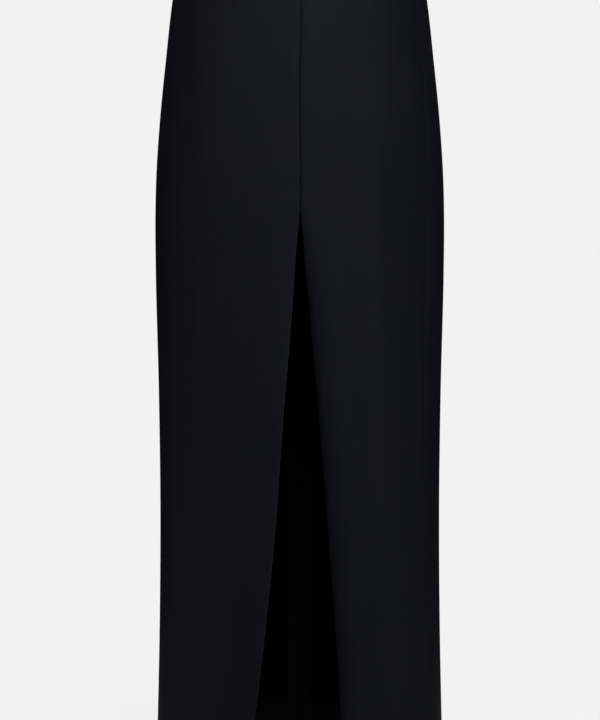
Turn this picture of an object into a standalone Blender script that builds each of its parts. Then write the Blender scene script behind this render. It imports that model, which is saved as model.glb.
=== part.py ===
"""A column skirt with a long open slit at the centre front, as it is worn.

Every cloth piece is a thin wall that follows one set of level sections. A section is a smooth
closed curve round the body, and a place on it is told by its distance along the cloth from the
centre front, positive towards the wearer's left.

Metres, +Z up, the front faces -Y and the wearer's left is +X. The origin is the middle of the
waist, level with the top edge.
"""

import math

import bmesh
import bpy
import numpy as np

# ---- Driving sizes ----

LENGTH = 1.050  # from the top edge to the hem
BAND_HEIGHT = 0.035
CLOTH = 0.0012  # one layer of the crepe
TURNED_LAYER = 0.0010  # what a turned-back edge adds inside
BAND_WALL = 0.0024  # the band is folded double round its stiffening
BAND_PROUD = 0.0004  # the band stands this far outside the panels
SEAM_GAP = 0.0003

SLIT_TOP = -0.380
SLIT_FACING = 0.030  # width of the layer turned back along the slit
HEM_TURN = 0.040  # height of the hem that is turned up
STEP = 0.001  # over this a turned layer comes to its full thickness

# The level sections. Depths are from the side of the body to the centre front and the centre
# back. A side seam lies on the front half, at this share of the half width.
SECTION_COLUMNS = ("height", "half_width", "front", "back", "left_seam", "right_seam")
SECTIONS = (
    (0.000, 0.1400, 0.0990, 0.1045, 0.905, 0.975),
    (-0.035, 0.1452, 0.1035, 0.1095, 0.905, 0.975),
    (-0.070, 0.1515, 0.1080, 0.1165, 0.905, 0.976),
    (-0.115, 0.1588, 0.1130, 0.1270, 0.904, 0.978),
    (-0.190, 0.1672, 0.1185, 0.1385, 0.900, 0.980),
    (-0.265, 0.1746, 0.1220, 0.1430, 0.890, 0.983),
    (-0.340, 0.1794, 0.1238, 0.1430, 0.876, 0.985),
    (-0.390, 0.1804, 0.1247, 0.1424, 0.868, 0.985),
    (-0.4525, 0.1799, 0.1258, 0.1420, 0.866, 0.985),
    (-0.6025, 0.1761, 0.1290, 0.1440, 0.874, 0.987),
    (-0.7525, 0.1741, 0.1330, 0.1470, 0.898, 0.990),
    (-0.9025, 0.1750, 0.1365, 0.1505, 0.924, 0.993),
    (-1.050, 0.1780, 0.1400, 0.1550, 0.945, 0.995),
)
SQUARENESS = 2.15  # exponent of the section's curve; 2 is an ellipse

# The two edges of the slit, as places across the front.
SLIT_COLUMNS = ("height", "right_edge", "left_edge")
SLIT = (
    (-0.3800, -0.0002, 0.0002),
    (-0.4400, -0.0050, 0.0056),
    (-0.4925, -0.0082, 0.0109),
    (-0.6375, -0.0198, 0.0247),
    (-0.7826, -0.0308, 0.0366),
    (-0.9277, -0.0461, 0.0478),
    (-1.0500, -0.0610, 0.0543),
)
# How an edge of the slit rolls in towards the body, at its deepest.
ROLL_DEPTH = {"left": 0.0075, "right": 0.0025}
ROLL_WIDTH = {"left": 0.022, "right": 0.014}
ROLL_GROWS = 0.150  # down this much of the slit the roll comes to its full depth

# The soft upright folds. A place round the skirt is a share of the way from the centre front
# (0) to the centre back (1, or -1 round the wearer's right). A fold with a negative rise is a
# hollow.
FOLD_COLUMNS = ("top", "foot", "around_at_top", "around_at_foot", "width", "rise")
FOLDS = (
    (-0.170, -1.150, 0.180, 0.215, 0.021, 0.0034),
    (-0.330, -1.150, 0.300, 0.330, 0.026, -0.0018),
    (-0.200, -0.900, -0.225, -0.245, 0.024, 0.0022),
    (-0.480, -1.150, -0.330, -0.350, 0.026, -0.0012),
    (-0.420, -1.200, 0.640, 0.620, 0.026, 0.0048),
    (-0.500, -1.200, 0.745, 0.735, 0.024, -0.0036),
    (-0.360, -1.200, 0.860, 0.850, 0.028, 0.0050),
    (-0.560, -1.200, 0.950, 0.945, 0.022, -0.0030),
    (-0.460, -1.200, -0.625, -0.600, 0.028, 0.0042),
    (-0.400, -1.200, -0.735, -0.720, 0.022, -0.0032),
    (-0.440, -1.200, -0.835, -0.835, 0.026, 0.0056),
    (-0.600, -1.200, -0.930, -0.940, 0.024, -0.0034),
)
FOLD_FADE = 0.200  # a fold comes and goes over this much height

# How fine the panels are.
SLIT_STATIONS = (0.0, 0.005, 0.011, 0.019, SLIT_FACING - STEP, SLIT_FACING)
FRONT_COLUMNS = 12  # beyond the slit's facing
BACK_COLUMNS = 22
SEAM_COLUMN = 0.002  # a narrow column beside a seam keeps the two walls square to it
BAND_COLUMNS = 36  # on each half of the band
ROW_HEIGHT = 0.034
NORMAL_REACH = 0.002  # the outward direction is read across this much cloth on each side

# The concealed zip at the centre back, closed.
ZIP_LENGTH = 0.200
TAPE_WIDTH = 0.012  # from the middle of the zip
TAPE_WALL = 0.0010
TAPE_CLEAR = 0.0005  # inside the wall that the tape lies on
TAPE_TOP = -0.003
TAPE_ROWS = 14  # below the slider
TAPE_STEP = 0.006  # over this height the tape steps off the band on to the panels
NOTCH = 0.0014  # half the opening at the top of the seam that the slider's bridge stands in
NOTCH_HEIGHT = 0.017
NOTCH_CLOSES = 0.004  # over this height the notch comes down to the seam's gap
HINGE_DROP = 0.0095  # below the top edge
HINGE_PROUD = 0.0012  # outside the band
PLATE_WIDTH, PLATE_LENGTH, PLATE_WALL = 0.0062, 0.0092, 0.0020
BRIDGE_WIDTH, BRIDGE_LENGTH, BRIDGE_BAR = 0.0012, 0.0076, 0.0012
WINDOW_LENGTH = BRIDGE_LENGTH - 2 * BRIDGE_BAR
WINDOW_TOP = 0.0011  # above the hinge
PULL_LENGTH = 0.024
PULL_WALL = 0.0010
PULL_HEAD, PULL_FOOT = 0.0046, 0.0060  # widths at the bridge and near the free end
PULL_CHAMFER = 0.0004
SLOT_WIDTH, SLOT_LENGTH = 0.0024, 0.0056
EYE_BAR = 0.0011  # the part of the pull that turns in the bridge

# ---- Sections ----


def table(columns, rows):
    """The rows as one array a column, by the column's name."""
    return {name: np.array(values) for name, values in zip(columns, zip(*rows))}


SHAPE = table(SECTION_COLUMNS, SECTIONS)
EDGES = table(SLIT_COLUMNS, SLIT)


def at_height(columns, name, height):
    """One column's value at a height, on a smooth curve through the rows."""
    x = -columns["height"]
    y = columns[name]
    slopes = np.gradient(y, x)
    place = min(max(-height, x[0]), x[-1])
    i = min(int(np.searchsorted(x, place, side="right")) - 1, len(x) - 2)
    span = x[i + 1] - x[i]
    t = (place - x[i]) / span
    return (
        (1 + 2 * t) * (1 - t) ** 2 * y[i]
        + t * (1 - t) ** 2 * span * slopes[i]
        + t**2 * (3 - 2 * t) * y[i + 1]
        - t**2 * (1 - t) * span * slopes[i + 1]
    )


def ease(value):
    """0 below 0, 1 above 1, and smooth between."""
    t = min(max(value, 0.0), 1.0)
    return t * t * (3 - 2 * t)


class Section:
    """The level curve at one height, measured along the cloth."""

    FINE = 1441

    def __init__(self, height):
        self.height = height
        self.half_width = at_height(SHAPE, "half_width", height)
        turn = np.linspace(-math.pi, math.pi, self.FINE)
        power = 2 / SQUARENESS
        depth = np.where(
            np.cos(turn) > 0,
            -at_height(SHAPE, "front", height),
            at_height(SHAPE, "back", height),
        )
        self.x = self.half_width * np.sign(np.sin(turn)) * np.abs(np.sin(turn)) ** power
        self.y = depth * np.abs(np.cos(turn)) ** power
        steps = np.hypot(np.diff(self.x), np.diff(self.y))
        self.along = np.concatenate([[0.0], np.cumsum(steps)])
        self.along -= self.along[self.FINE // 2]
        self.half = self.along[-1]

    def front_place(self, x):
        """The distance along the cloth of the point x across the front."""
        front = slice(self.FINE // 4, 3 * self.FINE // 4 + 1)
        return float(np.interp(x, self.x[front], self.along[front]))

    def side_seam(self, side):
        sign = {"left": 1, "right": -1}[side]
        share = at_height(SHAPE, f"{side}_seam", self.height)
        return self.front_place(sign * share * self.half_width)

    def slit_edge(self, side):
        """Where a front panel ends at the centre front."""
        sign = {"left": 1, "right": -1}[side]
        if self.height >= SLIT_TOP:
            return sign * SEAM_GAP / 2
        return self.front_place(at_height(EDGES, f"{side}_edge", self.height))

    def point(self, place, outward=0.0):
        """The point at a distance along the cloth, moved outwards."""
        around = place / self.half
        lift = outward + folds(around, self.half, self.height)
        ends = [self.bare(place + step) for step in (-NORMAL_REACH, NORMAL_REACH)]
        forward = np.subtract(ends[1], ends[0])
        normal = np.array((forward[1], -forward[0])) / np.hypot(*forward)
        x, y = np.array(self.bare(place)) + normal * lift
        return x, y, self.height

    def bare(self, place):
        """The point before the folds, where a place may run on past the centre back."""
        place = (place + self.half) % (2 * self.half) - self.half
        return (
            float(np.interp(place, self.along, self.x)),
            float(np.interp(place, self.along, self.y)),
        )


def folds(around, half, height):
    """How far the folds lift the cloth at a place."""
    lift = 0.0
    for row in FOLDS:
        fold = dict(zip(FOLD_COLUMNS, row))
        down = (fold["top"] - height) / (fold["top"] - fold["foot"])
        centre = fold["around_at_top"] + down * (
            fold["around_at_foot"] - fold["around_at_top"]
        )
        offset = (around - centre + 1) % 2 - 1
        shows = ease((fold["top"] - height) / FOLD_FADE)
        shows *= ease((height - fold["foot"]) / FOLD_FADE)
        lift += fold["rise"] * shows * math.exp(-((offset * half / fold["width"]) ** 2))
    return lift


def roll(side, distance, height):
    """How far an edge of the slit rolls in, at a distance from the edge."""
    nearness = max(0.0, 1 - distance / ROLL_WIDTH[side])
    return ROLL_DEPTH[side] * nearness**2 * ease((SLIT_TOP - height) / ROLL_GROWS)


# ---- Cloth ----


def row_heights(top):
    """The heights of a panel's rows, with rows where a turned layer begins."""
    hem = -LENGTH
    stops = (
        top,
        SLIT_TOP,
        hem + HEM_TURN + STEP,
        hem + HEM_TURN,
        hem,
    )
    heights = [top]
    for upper, lower in zip(stops, stops[1:]):
        count = max(1, round((upper - lower) / ROW_HEIGHT))
        heights += [upper + (lower - upper) * (i + 1) / count for i in range(count)]
    return heights


def between(start, end, count):
    """Places from start to end, with a narrow column beside each end."""
    inner = np.linspace(start + SEAM_COLUMN, end - SEAM_COLUMN, count - 1)
    return [start, *inner, end]


def cloth_object(name, points, material, wall, turned=None):
    """A wall of cloth. points is a grid of rows, running towards the wearer's left."""
    mesh = bpy.data.meshes.new(name)
    form = bmesh.new()
    grid = [[form.verts.new(point) for point in row] for row in points]
    for upper, lower in zip(grid, grid[1:]):
        for i in range(len(upper) - 1):
            form.faces.new((upper[i], lower[i], lower[i + 1], upper[i + 1]))
    form.to_mesh(mesh)
    form.free()
    mesh.shade_smooth()
    mesh.materials.append(material)
    cloth = bpy.data.objects.new(name, mesh)
    parts.objects.link(cloth)
    solid = cloth.modifiers.new("Thickness", "SOLIDIFY")
    solid.thickness = wall
    solid.offset = -1.0
    if turned:
        group = cloth.vertex_groups.new(name="turned back")
        flat = [layer for row in turned for layer in row]
        group.add([i for i, layer in enumerate(flat) if layer], 1.0, "REPLACE")
        solid.thickness = wall + TURNED_LAYER
        solid.vertex_group = group.name
        solid.thickness_vertex_group = wall / (wall + TURNED_LAYER)
    return cloth


def front_panel(side):
    """One front panel, with its slit edge and hem turned back inside."""
    sign = {"left": 1, "right": -1}[side]
    points, turned = [], []
    for height in row_heights(-BAND_HEIGHT - SEAM_GAP):
        section = Section(height)
        edge = abs(section.slit_edge(side))
        end = abs(section.side_seam(side)) - SEAM_GAP / 2
        stations = [edge + distance for distance in SLIT_STATIONS]
        stations += between(stations.pop(), end, FRONT_COLUMNS)
        row = [
            section.point(sign * place, -roll(side, place - edge, height))
            for place in stations
        ]
        layers = [
            height <= -LENGTH + HEM_TURN
            or (height <= SLIT_TOP and place - edge < SLIT_FACING - STEP / 2)
            for place in stations
        ]
        points.append(row[::sign])
        turned.append(layers[::sign])
    return cloth_object(f"front_{side}", points, crepe, CLOTH, turned)


def back_panel(side):
    """One back panel, from the side seam to the centre back."""
    sign = {"left": 1, "right": -1}[side]
    points, turned = [], []
    for height in row_heights(-BAND_HEIGHT - SEAM_GAP):
        section = Section(height)
        start = abs(section.side_seam(side)) + SEAM_GAP / 2
        end = section.half - SEAM_GAP / 2
        stations = between(start, end, BACK_COLUMNS)
        row = [section.point(sign * place) for place in stations]
        points.append(row[::sign])
        turned.append([height <= -LENGTH + HEM_TURN] * len(row))
    return cloth_object(f"back_{side}", points, crepe, CLOTH, turned)


def zip_gap(height):
    """Half the gap at the centre back: a notch at the top, for the slider's bridge."""
    below = (-height - NOTCH_HEIGHT) / NOTCH_CLOSES
    return NOTCH + (SEAM_GAP / 2 - NOTCH) * ease(below)


def waistband():
    """The band, in one piece from one side of the zip round to the other."""
    seam_top = -NOTCH_HEIGHT - NOTCH_CLOSES
    points = []
    for height in (0.0, -NOTCH_HEIGHT / 2, -NOTCH_HEIGHT, seam_top, -BAND_HEIGHT):
        section = Section(height)
        reach = section.half - zip_gap(height)
        stations = np.linspace(-reach, reach, 2 * BAND_COLUMNS + 1)
        points.append([section.point(place, BAND_PROUD) for place in stations])
    return cloth_object("waistband", points, band_crepe, BAND_WALL)


def zip_tape(side):
    """One tape of the zip, on the inside of the band and the back panel."""
    sign = {"left": 1, "right": -1}[side]
    seam_top = -NOTCH_HEIGHT - NOTCH_CLOSES
    beside_slider = np.linspace(TAPE_TOP, -NOTCH_HEIGHT, 3)
    below_slider = np.linspace(seam_top, -ZIP_LENGTH, TAPE_ROWS)
    slider_room = PLATE_WIDTH / 2 + 2 * SEAM_GAP
    points = []
    for height in (*beside_slider, *below_slider):
        section = Section(height)
        behind_band = ease((height + BAND_HEIGHT) / TAPE_STEP + 1)
        inside = CLOTH + TAPE_CLEAR
        inside += (BAND_WALL - BAND_PROUD - CLOTH) * behind_band
        near = slider_room if height >= -NOTCH_HEIGHT else SEAM_GAP / 2
        stations = section.half - np.linspace(near, TAPE_WIDTH, 4)
        row = [section.point(sign * place, -inside) for place in stations]
        points.append(row[::-sign])
    return cloth_object(f"zip_tape_{side}", points, tape_weave, TAPE_WALL)


# ---- Zip slider and pull ----


def hinge_frame():
    """An empty on the pull's axis. Its Z runs up the cloth and its Y out of the back."""
    upper = Section(0.0).point(Section(0.0).half, BAND_PROUD)
    lower = Section(-BAND_HEIGHT).point(Section(-BAND_HEIGHT).half, BAND_PROUD)
    lean = math.atan2(lower[1] - upper[1], upper[2] - lower[2])
    empty = bpy.data.objects.new("zip_hinge", None)
    parts.objects.link(empty)
    share = HINGE_DROP / BAND_HEIGHT
    face = upper[1] + (lower[1] - upper[1]) * share
    empty.location = (
        0.0,
        face + HINGE_PROUD * math.cos(lean),
        -HINGE_DROP + HINGE_PROUD * math.sin(lean),
    )
    empty.rotation_euler = (lean, 0.0, 0.0)
    return empty


def block(name, collection, size, centre, parent):
    """A box of a given size, in the frame of its parent."""
    bpy.ops.mesh.primitive_cube_add(size=1.0)
    box = bpy.context.object
    box.name = name
    for user in list(box.users_collection):
        user.objects.unlink(box)
    collection.objects.link(box)
    for vertex in box.data.vertices:
        vertex.co = [c * s + m for c, s, m in zip(vertex.co, size, centre)]
    box.parent = parent
    return box


def cut(target, tool, operation):
    """Cuts a target with a tool, or joins the tool to it."""
    tool.hide_render = True
    tool.display_type = "WIRE"
    boolean = target.modifiers.new(tool.name, "BOOLEAN")
    boolean.operation = operation
    boolean.solver = "EXACT"
    boolean.object = tool


def zip_slider(hinge):
    """The slider's plate inside the band, and the bridge that stands out through the notch."""
    wall = BAND_WALL + HINGE_PROUD
    plate_middle = -wall - TAPE_CLEAR - PLATE_WALL / 2
    bridge_top = WINDOW_TOP + BRIDGE_BAR
    bridge_foot = plate_middle
    slider = block(
        "zip_slider",
        parts,
        (PLATE_WIDTH, PLATE_WALL, PLATE_LENGTH),
        (0.0, plate_middle, 0.0),
        hinge,
    )
    slider.data.materials.append(metal)
    bridge = block(
        "bridge",
        cutters,
        (BRIDGE_WIDTH, bridge_top - bridge_foot, BRIDGE_LENGTH),
        (0.0, (bridge_top + bridge_foot) / 2, 0.0),
        hinge,
    )
    window_foot = -HINGE_PROUD
    window = block(
        "window",
        cutters,
        (2 * BRIDGE_WIDTH, WINDOW_TOP - window_foot, WINDOW_LENGTH),
        (0.0, (WINDOW_TOP + window_foot) / 2, 0.0),
        hinge,
    )
    cut(slider, bridge, "UNION")
    cut(slider, window, "DIFFERENCE")
    return slider


def pull_outline():
    """The pull's outline, hinge at the origin: a slim drop that is widest near its free end."""
    head_top = EYE_BAR / 2
    foot_radius = PULL_FOOT / 2
    foot_centre = -PULL_LENGTH + foot_radius
    outline = [
        (-PULL_HEAD / 2, head_top - PULL_CHAMFER),
        (-PULL_HEAD / 2 + PULL_CHAMFER, head_top),
    ]
    outline += [(-x, y) for x, y in reversed(outline)]
    outline += [
        (
            foot_radius * math.cos(math.radians(angle)),
            foot_centre + foot_radius * math.sin(math.radians(angle)),
        )
        for angle in range(0, -181, -20)
    ]
    return outline


def slot_outline():
    """The slot in the pull that the bridge stands in."""
    x = SLOT_WIDTH / 2
    top = -EYE_BAR / 2
    foot = top - SLOT_LENGTH
    return [(-x, top), (x, top), (x, foot), (-x, foot)]


def zip_pull(hinge):
    """The pull tab, a flat plate that hangs from the bridge. Its origin is on its hinge."""
    curve = bpy.data.curves.new("zip_pull", "CURVE")
    curve.dimensions = "2D"
    curve.fill_mode = "BOTH"
    curve.extrude = PULL_WALL / 2
    for outline in (pull_outline(), slot_outline()):
        spline = curve.splines.new("POLY")
        spline.points.add(len(outline) - 1)
        for point, (x, y) in zip(spline.points, outline):
            point.co = (x, y, 0.0, 1.0)
        spline.use_cyclic_u = True
    curve.materials.append(metal)
    pull = bpy.data.objects.new("zip_pull", curve)
    parts.objects.link(pull)
    pull.parent = hinge
    pull.rotation_euler = (math.radians(90), 0.0, 0.0)
    return pull


# ---- Materials and the scene ----


def finish(name, colour, roughness, metallic=0.0):
    """A plain material with the piece's colour, roughness and metallic value."""
    material = bpy.data.materials.new(name)
    material.use_nodes = True
    shader = material.node_tree.nodes["Principled BSDF"]
    shader.inputs["Base Color"].default_value = (*colour, 1.0)
    shader.inputs["Roughness"].default_value = roughness
    shader.inputs["Metallic"].default_value = metallic
    return material


for leftover in list(bpy.data.objects):
    bpy.data.objects.remove(leftover)

parts = bpy.data.collections.new("column skirt")
cutters = bpy.data.collections.new("cutters")
for collection in (parts, cutters):
    bpy.context.scene.collection.children.link(collection)

crepe = finish("black crepe", (0.012, 0.012, 0.015), 0.85)
band_crepe = finish("band crepe", (0.011, 0.011, 0.014), 0.85)
tape_weave = finish("zip tape", (0.010, 0.010, 0.012), 0.90)
metal = finish("black enamel", (0.012, 0.012, 0.013), 0.35, 0.6)

for panel_side in ("left", "right"):
    front_panel(panel_side)
    back_panel(panel_side)
    zip_tape(panel_side)
waistband()
zip_frame = hinge_frame()
zip_slider(zip_frame)
zip_pull(zip_frame)
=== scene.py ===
# %% [markdown]
# # A column skirt with a long slit at the centre front
#
# The real skirt is cut from a smooth matte black crepe: two front panels, two back panels, a
# plain waistband and a concealed zip at the centre back. It is shown filled out, with no wearer.
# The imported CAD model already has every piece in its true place. This lesson gives each piece
# its cloth: folded edges, seams that sink in, soft folds, stitches and a weave.

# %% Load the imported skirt
import math

import bmesh
import bpy
import numpy as np
from mathutils import Matrix, Vector


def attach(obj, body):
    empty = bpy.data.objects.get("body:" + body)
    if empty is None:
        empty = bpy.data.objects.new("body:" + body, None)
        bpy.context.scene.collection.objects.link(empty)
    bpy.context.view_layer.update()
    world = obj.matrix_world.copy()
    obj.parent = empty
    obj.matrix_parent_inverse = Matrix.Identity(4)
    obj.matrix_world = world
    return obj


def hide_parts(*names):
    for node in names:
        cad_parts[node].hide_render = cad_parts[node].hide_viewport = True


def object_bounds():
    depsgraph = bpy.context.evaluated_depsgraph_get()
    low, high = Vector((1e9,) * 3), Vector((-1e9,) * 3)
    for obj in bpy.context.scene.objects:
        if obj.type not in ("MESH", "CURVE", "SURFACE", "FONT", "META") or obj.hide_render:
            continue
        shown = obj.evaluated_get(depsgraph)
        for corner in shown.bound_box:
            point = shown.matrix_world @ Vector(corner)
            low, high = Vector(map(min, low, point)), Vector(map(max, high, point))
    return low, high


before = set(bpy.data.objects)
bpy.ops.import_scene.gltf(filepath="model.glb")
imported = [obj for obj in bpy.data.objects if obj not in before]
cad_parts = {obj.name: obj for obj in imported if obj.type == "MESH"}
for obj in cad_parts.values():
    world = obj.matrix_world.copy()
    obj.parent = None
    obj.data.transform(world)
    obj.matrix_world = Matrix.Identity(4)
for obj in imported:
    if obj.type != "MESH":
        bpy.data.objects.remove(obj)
cad_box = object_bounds()
print("CAD nodes:", ", ".join(sorted(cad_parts)))

# %% [markdown]
# ## The camera
#
# The picture is a straight front view that shows 0.90 m of the skirt, from the high hip to just
# above the hem. A long lens from 4 m away keeps the sides nearly parallel, as in a studio. The
# lens is worked out from that height, so the framing is a measurement and not a guess.

# %% Place the camera
SHOWN_HEIGHT = 0.900  # metres of the skirt from the top to the foot of the picture
CAMERA_DISTANCE = 4.0
VIEW_X, VIEW_Z = 0.0003, -0.565  # the middle of the picture
SENSOR = 36.0  # millimetres, along the picture's height

camera_data = bpy.data.cameras.new("camera")
camera_data.sensor_width = SENSOR
camera_data.lens = SENSOR * CAMERA_DISTANCE / SHOWN_HEIGHT
camera = bpy.data.objects.new("camera", camera_data)
camera.location = (VIEW_X, -CAMERA_DISTANCE, VIEW_Z)
camera.rotation_euler = (math.pi / 2, 0.0, 0.0)
bpy.context.scene.collection.objects.link(camera)
bpy.context.scene.camera = camera
print(f"lens {camera_data.lens:.0f} mm")

# %% [markdown]
# ## Writing shader maths as sums
#
# A material's nodes are easier to read as an expression than as a list of links. `Value` wraps
# a socket, and a sum or product of values adds the Math nodes that work it out. `Graph.add`
# makes any other node from its type, its settings and its inputs, and short methods name the
# few groups of nodes that come back in several materials.


# %% A small language for nodes
class Value:
    """A socket of a node tree that can stand in a sum."""

    def __init__(self, graph, socket):
        self.graph = graph
        self.socket = socket

    def __add__(self, other):
        return self.graph.maths("ADD", self, other)

    def __sub__(self, other):
        return self.graph.maths("SUBTRACT", self, other)

    def __rsub__(self, other):
        return self.graph.maths("SUBTRACT", other, self)

    def __mul__(self, other):
        return self.graph.maths("MULTIPLY", self, other)

    __radd__, __rmul__ = __add__, __mul__


class Graph:
    """Adds nodes to one node tree."""

    def __init__(self, tree):
        self.tree = tree

    def add(self, kind, settings=None, inputs=None, output=0):
        """A new node, with its settings and then its inputs; gives one of its outputs."""
        node = self.tree.nodes.new(kind)
        for name, value in (settings or {}).items():
            setattr(node, name, value)
        for name, value in (inputs or {}).items():
            if isinstance(value, Value):
                self.link(value, node, name)
            else:
                node.inputs[name].default_value = value
        return Value(self, node.outputs[output])

    def link(self, value, node, name):
        self.tree.links.new(value.socket, node.inputs[name])

    def maths(self, operation, *terms):
        return self.add("ShaderNodeMath", {"operation": operation}, dict(enumerate(terms)))

    def mix(self, factor, first, second):
        """A colour between two colours."""
        inputs = {0: factor, 6: first, 7: second}
        return self.add("ShaderNodeMix", {"data_type": "RGBA"}, inputs, output=2)

    def shaded(self, colour, shade):
        """A colour times a number."""
        three = self.add("ShaderNodeCombineXYZ", {}, {0: shade, 1: shade, 2: shade})
        return self.add("ShaderNodeVectorMath", {"operation": "MULTIPLY"}, {0: colour, 1: three})

    def rising(self, value, low, high):
        """0 below low, 1 above high, and smooth between."""
        inputs = {"Value": value, "From Min": low, "From Max": high}
        return self.add("ShaderNodeMapRange", {"interpolation_type": "SMOOTHSTEP"}, inputs)

    def noise(self, place, scale, detail):
        inputs = {"Vector": place, "Scale": scale, "Detail": detail}
        return self.add("ShaderNodeTexNoise", {}, inputs)

    def attribute(self, name):
        return self.add("ShaderNodeAttribute", {"attribute_name": name}, output="Fac")

    def pattern(self):
        """Places on the flat pattern of a cloth, and their two distances in metres."""
        flat = self.add("ShaderNodeUVMap", {"uv_map": "cloth"})
        return flat, *(self.add("ShaderNodeSeparateXYZ", {}, {0: flat}, axis) for axis in "XY")

    def dress(self, shader, colour, roughness, height, strength, distance):
        """Links what varies over a surface: its colour, its roughness and its relief."""
        inputs = {"Height": height, "Strength": strength, "Distance": distance}
        relief = self.add("ShaderNodeBump", {}, inputs)
        links = (("Base Color", colour), ("Roughness", roughness), ("Normal", relief))
        for name, value in links:
            self.link(value, shader, name)


def grey(tone):
    return tone, tone, tone, 1.0


def new_material(name, constants):
    """A material with a Principled shader, and what is the same all over set on its sockets."""
    material = bpy.data.materials.new(name)
    material.use_nodes = True
    shader = material.node_tree.nodes["Principled BSDF"]
    for socket, value in constants.items():
        shader.inputs[socket].default_value = value
    return material, Graph(material.node_tree), shader


print("node helpers are ready")

# %% [markdown]
# ## The studio
#
# Black cloth shows its shape only by where it catches a lamp. Two banks high in front light the
# hips and fade towards the hem, and a weak lamp below them fills the front. A narrow strip lamp
# on each side draws the long upright streaks on the thighs, and two small low lamps reach round
# the sides near the floor, the left one tinted plum as in the picture. One lamp behind serves
# the back. The world shows an almost white background to the camera and lights the cloth with
# much less, so that black stays black.

# %% Light the studio
BACKGROUND = 0.887  # linear; 242 of 255 on the screen
AMBIENT = 0.015
WHITE, PLUM = (1.0, 1.0, 1.0), (1.0, 0.74, 0.93)
LAMP_COLUMNS = ("name", "place", "aim", "width", "height", "watts", "tint")
LAMPS = (
    ("key", (0.20, -1.45, 1.20), -0.05, 1.3, 0.5, 15.8, WHITE),
    ("wide key", (0.00, -1.30, 1.25), -0.05, 3.2, 0.4, 16.7, WHITE),
    ("front", (0.30, -2.00, 0.25), -0.40, 1.0, 0.5, 3.2, WHITE),
    ("right strip", (1.50, -1.88, -0.40), -0.50, 0.22, 1.0, 5.0, WHITE),
    ("left strip", (-1.90, -1.48, -0.45), -0.50, 0.25, 1.0, 3.3, WHITE),
    ("low left", (-1.60, -0.05, -0.98), -1.00, 0.5, 0.4, 1.6, PLUM),
    ("low right", (1.62, -0.50, -0.95), -0.98, 0.5, 0.5, 2.2, WHITE),
    ("back", (0.00, 1.50, 1.70), -0.35, 1.2, 1.0, 60.0, WHITE),
)


def hang_lamp(name, place, aim, width, height, watts, tint):
    """A large soft lamp that points at the middle of the skirt, at a height of its own."""
    light = bpy.data.lights.new(name, "AREA")
    light.shape = "RECTANGLE"
    light.size, light.size_y = width, height
    light.energy = watts
    light.color = tint
    lamp = bpy.data.objects.new(name, light)
    lamp.location = place
    beam = Vector((0.0, 0.0, aim)) - Vector(place)
    lamp.rotation_euler = beam.to_track_quat("-Z", "Y").to_euler()
    lamp.visible_camera = False
    bpy.context.scene.collection.objects.link(lamp)


def paint_world():
    """White for the camera, and a weaker light for everything else."""
    world = bpy.data.worlds.new("studio")
    world.use_nodes = True
    world.node_tree.nodes.clear()
    graph = Graph(world.node_tree)
    tone = grey(BACKGROUND)
    shown = graph.add("ShaderNodeBackground", {}, {"Color": tone})
    lights = graph.add("ShaderNodeBackground", {}, {"Color": tone, "Strength": AMBIENT})
    seen = graph.add("ShaderNodeLightPath", output="Is Camera Ray")
    both = graph.add("ShaderNodeMixShader", {}, {0: seen, 1: lights, 2: shown})
    graph.link(both, world.node_tree.nodes.new("ShaderNodeOutputWorld"), "Surface")
    bpy.context.scene.world = world


paint_world()
for row in LAMPS:
    hang_lamp(**dict(zip(LAMP_COLUMNS, row)))
bpy.context.scene.view_settings.view_transform = "Standard"
print(len(LAMPS), "lamps")

# %% [markdown]
# ## The floor
#
# A pale disc lies just under the hem. Its material turns see-through towards its rim, so that
# it runs into the background with no edge. A glow that only the camera sees brings it up to the
# background's white. It still takes the skirt's soft shadow, and doesn't light the hem from below.

# %% Lay the floor
FLOOR_DROP = 0.002  # below the hem
FLOOR_RADIUS = 1.2
FLOOR_SOLID = 0.40  # out to here the floor is whole, as a share of its radius
FLOOR_TONE = 0.22
FLOOR_GLOW = 0.70

floor_constants = {
    "Roughness": 0.9,
    "Specular IOR Level": 0.1,
    "Base Color": grey(FLOOR_TONE),
    "Emission Color": grey(1.0),
}
floor_material, graph, shader = new_material("pale floor", floor_constants)
seen = graph.add("ShaderNodeLightPath", output="Is Camera Ray")
graph.link(FLOOR_GLOW * seen, shader, "Emission Strength")
place = graph.add("ShaderNodeTexCoord", output="Object")
reach = graph.add("ShaderNodeVectorMath", {"operation": "LENGTH"}, {0: place}, output="Value")
fades = graph.rising(reach, FLOOR_SOLID * FLOOR_RADIUS, FLOOR_RADIUS)
graph.link(1 - fades, shader, "Alpha")

bpy.ops.mesh.primitive_circle_add(vertices=96, radius=FLOOR_RADIUS, fill_type="NGON")
floor = bpy.context.object
floor.name = "floor"
floor.location.z = float(cad_box[0][2]) - FLOOR_DROP
floor.data.materials.append(floor_material)
print(f"floor at {floor.location.z:.4f} m")

# %% [markdown]
# ## The shape of the skirt
#
# Every level cut through the skirt is one smooth closed curve. A short table gives its half
# width and its two depths at a few heights, and each place on the cloth is told by its distance
# from the centre front. These are the same sizes that the CAD solids were built from, so the
# finer cloth made here lies exactly on them.

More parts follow.
